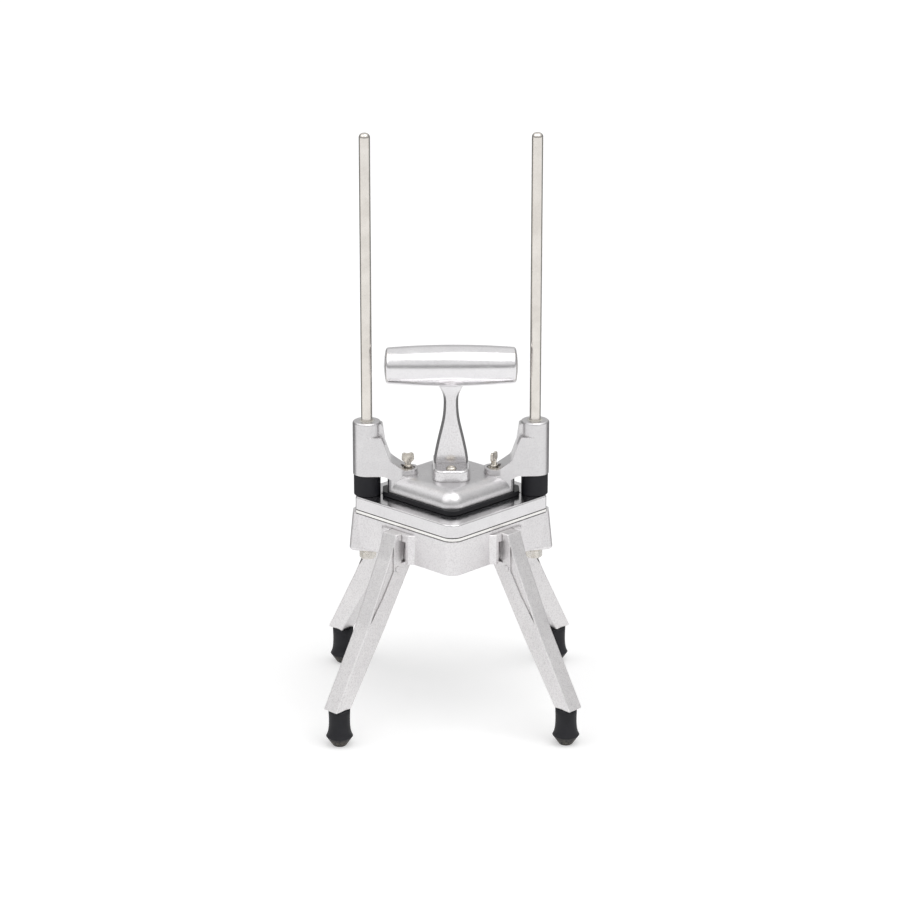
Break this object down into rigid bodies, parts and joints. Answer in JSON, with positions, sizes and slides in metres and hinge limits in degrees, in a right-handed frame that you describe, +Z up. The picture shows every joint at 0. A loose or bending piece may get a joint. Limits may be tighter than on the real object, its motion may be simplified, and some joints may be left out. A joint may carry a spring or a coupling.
{
  "type": "french fry cutter",
  "caption": "Push-down french fry cutter: a T-handle pusher head slides on upright rods and presses a fingered block through a blade grid on splayed legs.",
  "frame": {"origin": "on the floor, under the middle of the cutter", "axes": "+Z up along the guide rods, +X to the right through both rods, +Y to the back"},
  "size_m": [0.2268, 0.2268, 0.53],
  "materials": {
    "cast_aluminium": "tumbled die casting, satin",
    "polished_aluminium": "buffed casting",
    "stainless_rod": "ground stainless bar",
    "stainless_sheet": "stainless sheet and blades",
    "plated_hardware": "nickel plated fasteners",
    "black_rubber": "moulded rubber",
    "black_plastic": "moulded food-grade plastic",
    "bush_plastic": "plain bearing plastic",
    "brass_insert": "turned brass"
  },
  "bodies": {
    "base": {"base_casting": "cast_aluminium", "blade_plate": "stainless_sheet", "upper_frame": "cast_aluminium", "blades_lower": "stainless_sheet", "blades_upper": "stainless_sheet", "guide_rod_left": "stainless_rod", "guide_rod_right": "stainless_rod", "bumper_left": "black_rubber", "bumper_right": "black_rubber", "rod_washers": "plated_hardware", "rod_lock_washers": "plated_hardware", "rod_nuts": "plated_hardware", "leg_front_left": "cast_aluminium", "leg_front_right": "cast_aluminium", "leg_rear_right": "cast_aluminium", "leg_rear_left": "cast_aluminium", "foot_front_left": "black_rubber", "foot_front_right": "black_rubber", "foot_rear_right": "black_rubber", "foot_rear_left": "black_rubber", "leg_screws": "plated_hardware", "leg_washers": "plated_hardware"},
    "pusher": {"pusher_head": "polished_aluminium", "rod_bushings": "bush_plastic", "t_handle": "cast_aluminium", "handle_screws": "plated_hardware", "pusher_block": "black_plastic", "block_inserts": "brass_insert", "thumb_washers": "plated_hardware"},
    "thumb_left": {"thumb_screw_left": "plated_hardware"},
    "thumb_right": {"thumb_screw_right": "plated_hardware"}
  },
  "joints": [
    {"name": "pusher_slide", "type": "slide", "parent": "base", "child": "pusher", "axis": [0, 0, 1], "range_m": [0, 0.25]},
    {"name": "thumb_left_turn", "type": "hinge", "parent": "pusher", "child": "thumb_left", "pos_m": [-0.0385, 0, 0.226], "axis": [0, 0, 1], "continuous": true},
    {"name": "thumb_right_turn", "type": "hinge", "parent": "pusher", "child": "thumb_right", "pos_m": [0.0385, 0, 0.226], "axis": [0, 0, 1], "continuous": true}
  ]
}
